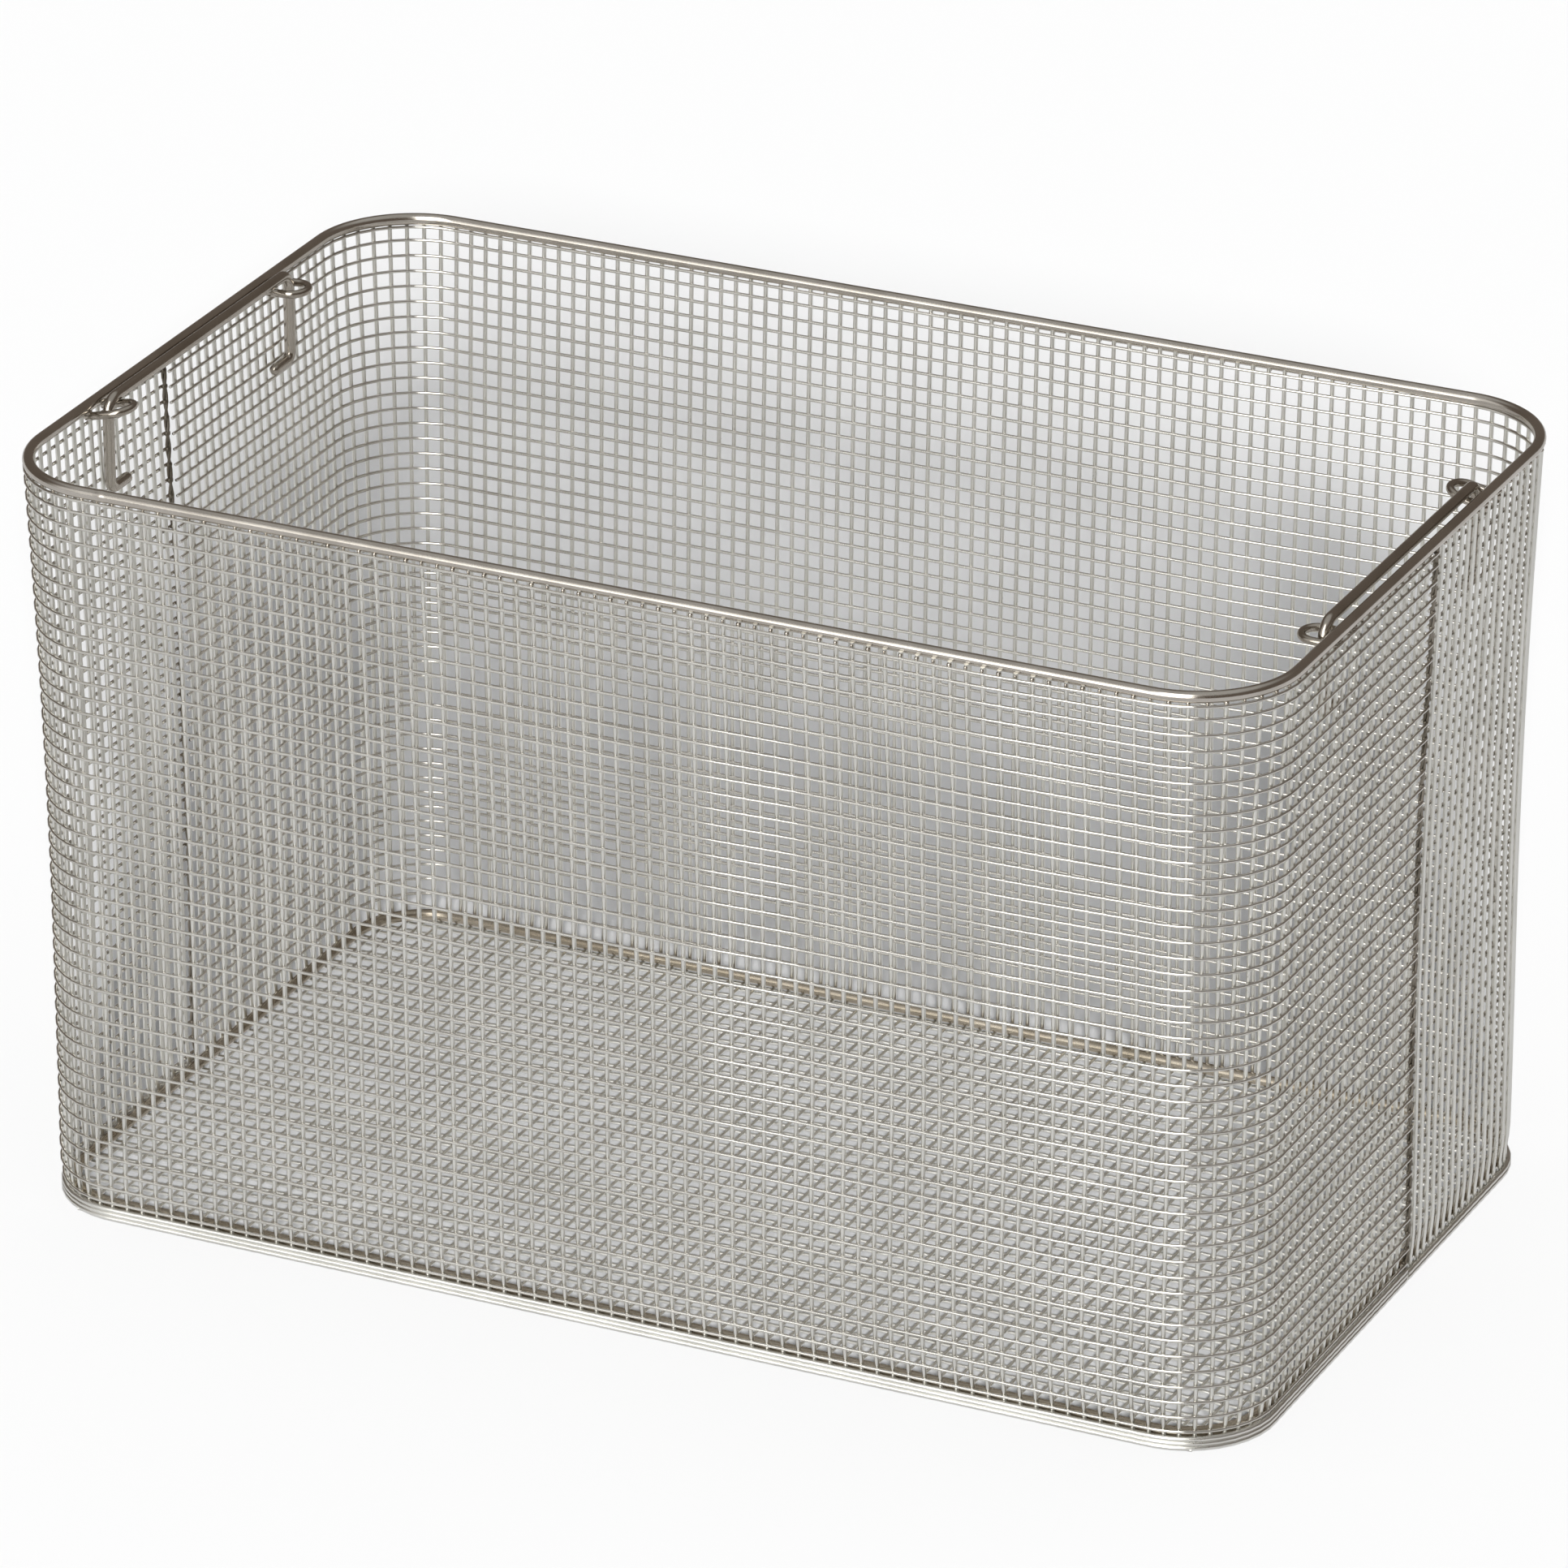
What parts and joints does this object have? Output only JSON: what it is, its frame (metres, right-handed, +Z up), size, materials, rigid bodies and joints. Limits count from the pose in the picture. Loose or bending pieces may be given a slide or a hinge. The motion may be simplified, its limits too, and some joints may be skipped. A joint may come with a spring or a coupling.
{
  "type": "sterilization basket",
  "caption": "Deep rectangular wire mesh basket with rounded corners, a thick rim wire and a drop handle inside each short end.",
  "frame": {"origin": "middle of the underside of the floor mesh, on the surface that the basket stands on", "axes": "+X along the long side towards the right handle, +Y from the front wall to the back wall, +Z up"},
  "size_m": [0.485, 0.29, 0.2895],
  "materials": {
    "rim_wire": "electropolished stainless wire",
    "bottom_wire": "electropolished stainless wire",
    "handle_wire": "electropolished stainless wire",
    "eye_wire": "stainless wire, slightly heat tinted at the welds",
    "seam_wire": "stainless wire, heat tinted at the welds",
    "mesh_wire": "bright stainless welded mesh"
  },
  "bodies": {
    "basket": {"rim_wire": "rim_wire", "bottom_frame_wire": "bottom_wire", "floor_mesh": "mesh_wire", "front_wall_mesh": "mesh_wire", "back_wall_mesh": "mesh_wire", "right_wall_mesh_front": "mesh_wire", "right_wall_mesh_back": "mesh_wire", "left_wall_mesh_front": "mesh_wire", "left_wall_mesh_back": "mesh_wire", "front_right_corner_mesh": "mesh_wire", "front_left_corner_mesh": "mesh_wire", "back_right_corner_mesh": "mesh_wire", "back_left_corner_mesh": "mesh_wire", "right_seam_wire": "seam_wire", "left_seam_wire": "seam_wire", "right_front_handle_eye": "eye_wire", "right_back_handle_eye": "eye_wire", "left_front_handle_eye": "eye_wire", "left_back_handle_eye": "eye_wire"},
    "right_handle_body": {"right_handle": "handle_wire"},
    "left_handle_body": {"left_handle": "handle_wire"}
  },
  "joints": [
    {"name": "right_handle_lift", "type": "slide", "parent": "basket", "child": "right_handle_body", "axis": [0, 0, 1], "range_m": [0, 0.02475]},
    {"name": "left_handle_lift", "type": "slide", "parent": "basket", "child": "left_handle_body", "axis": [0, 0, 1], "range_m": [0, 0.02475]}
  ]
}
